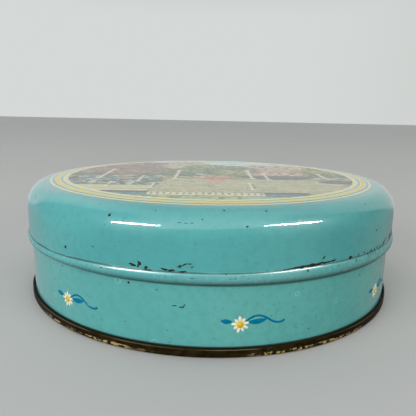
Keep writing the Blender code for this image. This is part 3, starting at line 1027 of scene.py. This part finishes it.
def make_station(number, beech, spool_mesh, cotton):
    """One peg with its bobbin and wound thread."""
    low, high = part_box(f"peg_{number}")
    centre = ((low[0] + high[0]) / 2, (low[1] + high[1]) / 2)
    radius = 2.5 * MM
    section = [(0, low[2]), (radius, low[2]), (radius, high[2] - 1.6 * MM)]
    section += arc((0, high[2] - 1.6 * MM), radius, 1.6 * MM, 15, 85, 6) + [(0, high[2])]
    peg = turned(f"dowel_{number}", section, [beech], 32, centre=centre)
    belongs(peg, "rack", "dowel", f"peg_{number}")
    spool = placed(f"spool_{number}", spool_mesh.copy())
    spool.data.transform(Matrix.Translation((*centre, 0)))
    belongs(spool, f"bobbin_{number}", "bobbin_steel", f"bobbin_{number}")
    winding = make_thread(number, centre, cotton)
    belongs(winding, f"bobbin_{number}", SLOT_OF_THREAD[number], f"thread_{number}")


def make_spool(steel):
    """A pressed bobbin about Z: rolled flange edges, a ring of holes in each flange, and a bored hub."""
    low, high = (corner[2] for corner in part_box("bobbin_01"))
    flange, radius, hub, bore = 0.8 * MM, outer_radius("bobbin_01"), 4.2 * MM, 3.1 * MM
    section = [(bore, low), (radius, low), (radius, low + flange), (hub, low + flange)]
    section += [(hub, high - flange), (radius, high - flange), (radius, high), (bore, high), (bore, low)]
    section = rounded(section, 0.3 * MM, 3)[:-1]
    spool = turned("spool", section, [steel], 56)
    for index in range(7):
        bpy.ops.mesh.primitive_cylinder_add(vertices=16, radius=0.9 * MM, depth=high - low + 2 * MM)
        cutter = bpy.context.object
        cutter.location = around(7.4 * MM, TAU * index / 7, (low + high) / 2)
        cut = spool.modifiers.new("hole", "BOOLEAN")
        cut.object, cut.operation = cutter, "DIFFERENCE"
    bpy.context.view_layer.update()
    solid = bpy.data.meshes.new_from_object(spool.evaluated_get(bpy.context.evaluated_depsgraph_get()))
    for extra in [spool] + [modifier.object for modifier in spool.modifiers]:
        bpy.data.objects.remove(extra)
    return solid


def make_thread(number, centre, cotton):
    """Thread wound in close turns: a helical ridge for each turn, fuller in the middle of the bobbin."""
    low, high = (corner[2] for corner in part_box(f"thread_{number}"))
    full = outer_radius(f"thread_{number}")
    turns, cuts, facets = 26, 4, 48
    seed = int(number)
    pitch = (high - low) / turns
    body = bmesh.new()
    rings = []
    rows = [low + (high - low) * index / (turns * cuts) for index in range(turns * cuts + 1)]
    for height in rows:
        ring = []
        for index in range(facets):
            turn = TAU * index / facets
            phase = pi * ((height - low) / pitch + turn / TAU)
            swell = 1 - 0.05 * ((height - (low + high) / 2) / (high - low) * 2) ** 2
            uneven = 0.1 * MM * noise.noise(Vector(around(3, turn, height * 900 + seed)))
            radius = (full - 0.25 * MM) * swell + 0.16 * MM * abs(sin(phase)) + uneven
            ring.append(body.verts.new(around(radius, turn, height, centre)))
        rings.append(ring)
    for height in (high, low):
        hub = [around(4.5 * MM, TAU * index / facets, height, centre) for index in range(facets)]
        rings.append([body.verts.new(point) for point in hub])
    skin(body, rings)
    return finish_mesh(f"winding_{number}", body, [cotton], 60)


SLOT_OF_THREAD = {
    row["node"][-2:]: row["material_slot"]
    for row in frame["record"]["subparts"] if row["node"].startswith("thread_")
}


# ---- stage

# The view: how far in front and how high the camera is, and how it tips, turns and rolls, in degrees.
EYE = (0, -238.05 * MM, 86.45 * MM)
TILT, TURN, ROLL = 11.803, 0.303, 1.242
FOCAL_LENGTH = 36.93


def make_camera():
    camera = placed("camera", bpy.data.cameras.new("camera"))
    camera.data.sensor_width = 36
    camera.data.lens = FOCAL_LENGTH
    camera.data.clip_start = 0.01
    tilt = Matrix.Rotation(radians(90 - TILT), 4, "X")
    turn = Matrix.Rotation(radians(TURN), 4, "Z")
    roll = Matrix.Rotation(radians(ROLL), 4, "Z")
    camera.matrix_world = Matrix.Translation(EYE) @ (turn @ tilt) @ roll
    bpy.context.scene.camera = camera


def make_floor():
    """A plain pale floor, hidden from mirror reflections: in them the tin stands over something darker."""
    m = Material("floor_paint", roughness=0.7)
    m.put("Base Color", m.blend(m.cloud(3), (0.43, 0.425, 0.415), (0.465, 0.46, 0.45)))
    body = bmesh.new()
    bmesh.ops.create_grid(body, x_segments=8, y_segments=8, size=20)
    floor = finish_mesh("floor", body, [m.made])
    floor.location.z = -0.2 * MM
    floor.visible_glossy = False


def make_room():
    """The pale room round the box: bright above and behind, dull in front, and dim low down at the back."""
    world = bpy.data.worlds.new("room")
    bpy.context.scene.world = world
    world.use_nodes = True
    m = Graph(world.node_tree)
    way = m.axes(m.node("TexCoord").outputs["Generated"])
    x, y, z = way["X"], way["Y"], way["Z"]
    aside = m.size(x)
    lean = m.plus(y, m.plus(m.times(z, 0.84), m.times(aside, 0.26)))
    behind = m.step(lean, 0.81, 0.88)
    above = m.step(m.minus(z, m.times(x, 0.18)), 0.45, 0.5)
    ahead = m.times(above, m.step(aside, 0.62, 0.38))
    dull = m.blend(m.step(x, -0.8, 0.8), (0.16, 0.19, 0.21), (0.02, 0.02, 0.02))
    low_behind = m.times(m.step(y, -0.3, 0.6), m.step(z, 0.16, -0.04))
    dim = m.blend(m.step(x, -0.5, 0.5), (0.34, 0.38, 0.39), (0.25, 0.27, 0.26))
    dull = m.blend(low_behind, dull, dim)
    bright = m.blend(m.step(z, 0.35, 0.75), (0.66, 0.69, 0.68), (0.98, 1.01, 1.01))
    bright = m.blend(m.step(y, 0.1, -0.75), bright, (1.6, 1.66, 1.66))
    high = m.times(m.step(aside, 0.5, 0.2), m.step(z, 0.2, 0.34))
    high_behind = m.times(high, m.step(y, 0.15, 0.45))
    bright = m.blend(high_behind, bright, (0.52, 0.55, 0.55))
    bright = m.blend(m.step(x, 0.1, 0.9), bright, (0.56, 0.57, 0.54))
    colour = m.blend(m.most(behind, ahead), dull, bright)
    m.fill(m.tree.nodes["Background"].inputs["Color"], colour)


def make_lamp(name, outline, energy, colour, width, *ends):
    """A soft lamp of an outline, from one end to the other, with a width, turned to face the tin."""
    one, other = (Vector(end) for end in ends)
    along = (other - one).normalized()
    middle = (one + other) / 2
    back = middle - Vector((0, -0.09, 0.05))
    back = (back - along * back.dot(along)).normalized()
    data = bpy.data.lights.new(name, "AREA")
    data.shape = outline
    data.size = (other - one).length
    data.size_y = width
    data.energy = energy
    data.color = colour
    lamp = placed(name, data)
    turn = Matrix((along, back.cross(along), back)).transposed().to_4x4()
    lamp.matrix_world = Matrix.Translation(middle) @ turn
    return lamp


def make_lamps():
    """Two slim lamps that only make the streaks of light, and two wide ones that only light the tin."""
    white, cool, warm = (1, 1, 1), (0.96, 0.98, 1), (1, 0.97, 0.92)
    strips = (
        ("left_strip", "ELLIPSE", 20, white, 0.1, (-1.187, -0.676, 0.603), (-0.62, -1.105, 0.817)),
        ("right_strip", "ELLIPSE", 20, white, 0.078, (0.655, -1.013, 0.903), (1.22, -0.437, 0.737)),
    )
    fills = (
        ("left_fill", "RECTANGLE", 18.5, cool, 0.9, (-1.6, -0.8, 0.55), (-0.8, -1.5, 0.55)),
        ("right_fill", "RECTANGLE", 10.5, warm, 0.6, (0.9, -1.4, 0.55), (1.7, -0.7, 0.55)),
    )
    for strip in strips:
        make_lamp(*strip).visible_diffuse = False
    for fill in fills:
        make_lamp(*fill).visible_glossy = False


# ---- main

# The printing inks: each one's colour, its colour where it is worn thin, and its share of the varnish.
INKS = (
    ("cream", (0.68, 0.62, 0.34), (0.54, 0.54, 0.34), 0.7),
    ("petal", (0.8, 0.74, 0.53), (0.66, 0.66, 0.5), 0.5),
    ("eye", (0.7, 0.46, 0.01), (0.6, 0.38, 0.02), 0.3),
    ("gold", (0.72, 0.47, 0.015), (0.62, 0.43, 0.05), 0.45),
    ("blue", (0.0005, 0.155, 0.265), (0.003, 0.165, 0.255), 0.12),
)


def main():
    """Makes every piece, then the camera, the floor, the room and the lamps."""
    lid_paint = enamel("lid_paint", (0.066, 0.318, 0.322), (0.082, 0.355, 0.352), lid_grime_and_shade, True)
    wall_paint = enamel("wall_paint", (0.088, 0.352, 0.335), (0.108, 0.385, 0.36), wall_shadow_and_seam_line)
    inks = {name: ink(f"{name}_ink", *colours) for name, *colours in INKS}
    bright_tin = tinplate("bright_tin", (0.66, 0.6, 0.46), (0.3, 0.23, 0.14))
    plywood = wood("plywood", (0.56, 0.39, 0.22), (0.42, 0.26, 0.13), (0.12, 1, 1), plies=True)
    beech = wood("beech", (0.62, 0.44, 0.27), (0.46, 0.29, 0.16), (1, 1, 0.12))
    make_lid(lid_paint, bright_tin, inks, picture_ink())
    make_wall(wall_paint, bright_tin)
    make_base(bright_tin, seam_metal())
    for index in range(DAISIES):
        make_daisy(index, inks)
    make_board(plywood)
    make_knob(beech)
    spool_mesh = make_spool(bobbin_steel())
    colours = {row["slot"]: row["base_color"][:3] for row in frame["record"]["materials"]}
    cottons = {slot: thread_cotton(slot, colours[slot]) for slot in sorted(set(SLOT_OF_THREAD.values()))}
    for number in sorted(SLOT_OF_THREAD):
        make_station(number, beech, spool_mesh, cottons[SLOT_OF_THREAD[number]])
    bpy.data.meshes.remove(spool_mesh)
    make_camera()
    make_floor()
    make_room()
    make_lamps()
    bpy.context.scene.view_settings.view_transform = "Standard"


main()
